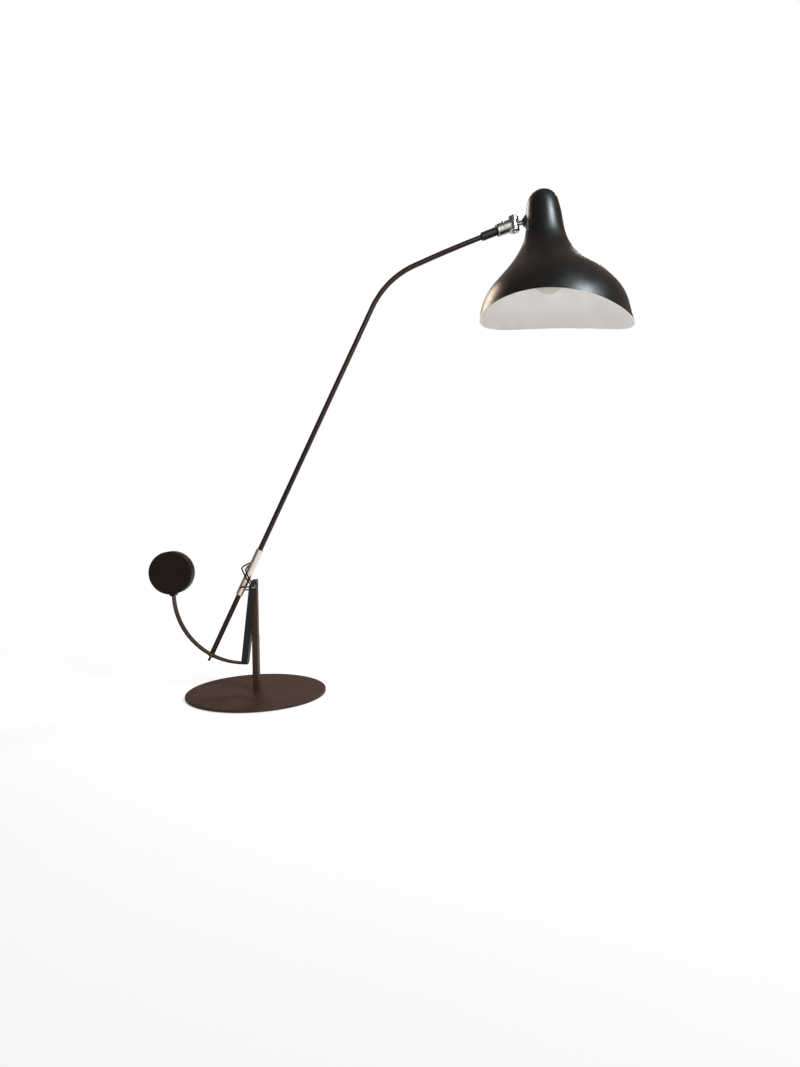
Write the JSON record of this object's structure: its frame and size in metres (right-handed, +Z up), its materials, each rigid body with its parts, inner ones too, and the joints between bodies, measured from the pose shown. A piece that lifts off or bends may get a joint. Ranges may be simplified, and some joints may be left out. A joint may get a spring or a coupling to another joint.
{
  "type": "counterweight balance desk lamp",
  "caption": "Desk lamp with a round base, a flat post, a bent arm balanced by a disc on a curved strap, a swivel knuckle and a spun shade with an arched rim.",
  "frame": {"origin": "centre of the base's underside, on the table", "axes": "+Z up, +X from the post towards the shade, -Y towards the picture's side"},
  "size_m": [0.69, 0.2182, 0.7112],
  "materials": {
    "black_paint": "satin near-black enamel",
    "weight_paint": "satin near-black enamel",
    "shade_paint": "spun, near-black satin enamel outside, off-white matt enamel inside",
    "nickel": "satin nickel plate",
    "chrome": "polished",
    "brass": "turned",
    "zinc_steel": "zinc plate",
    "pad_rubber": "matt",
    "friction_plastic": "dry nylon",
    "lead_jacket": "soft matt",
    "holder_plastic": "moulded matt",
    "bulb_white": "frosted white, unlit"
  },
  "bodies": {
    "stand": {"base_plate": "black_paint", "base_pad": "pad_rubber", "foot_screws": "zinc_steel", "post": "black_paint", "pivot_bolt": "zinc_steel", "pivot_nut": "zinc_steel", "pivot_washers": "friction_plastic"},
    "carriage": {"counterweight_leg": "black_paint", "counterweight_strap": "black_paint", "strap_eyelet": "brass", "counterweight_disc": "weight_paint", "sleeve": "nickel", "sleeve_bush_lower": "brass", "sleeve_bush_upper": "brass", "lower_stay": "black_paint", "upper_stay": "black_paint"},
    "arm": {"arm_tube": "black_paint", "arm_lead": "lead_jacket", "cable_gland": "lead_jacket", "arm_collar": "black_paint", "swivel_washer": "friction_plastic", "swivel_clip": "zinc_steel"},
    "swivel": {"swivel_barrel": "nickel", "grip_screw": "chrome", "knuckle_fork": "chrome", "knuckle_screw": "chrome", "knuckle_cap_nut": "chrome", "knuckle_washers": "friction_plastic"},
    "head": {"knuckle_stem": "chrome", "shade_boss": "black_paint", "shade": "shade_paint", "neck_saddle": "friction_plastic", "stem_nut": "zinc_steel", "holder_bracket": "zinc_steel", "holder_nut": "holder_plastic", "lampholder": "holder_plastic", "lampholder_contact": "brass", "head_lead": "lead_jacket", "bulb_cap": "nickel", "bulb_tip": "brass", "bulb_glass": "bulb_white"}
  },
  "joints": [
    {"name": "balance_tilt", "type": "hinge", "parent": "stand", "child": "carriage", "pos_m": [0, 0, 0.157], "axis": [0, 1, 0], "range_deg": [-1.5, 30]},
    {"name": "arm_turn", "type": "hinge", "parent": "carriage", "child": "arm", "pos_m": [-0.0165, 0, 0.157], "axis": [0.4362, 0, 0.8999], "range_deg": [-90, 90]},
    {"name": "head_swivel", "type": "hinge", "parent": "arm", "child": "swivel", "pos_m": [0.33326, 0, 0.65134], "axis": [0.9372, 0, 0.3489], "range_deg": [-90, 90]},
    {"name": "knuckle_turn", "type": "hinge", "parent": "swivel", "child": "head", "pos_m": [0.37918, 0, 0.66843], "axis": [-0.0766, 0.0235, 0.9968], "range_deg": [-40, 60]}
  ]
}
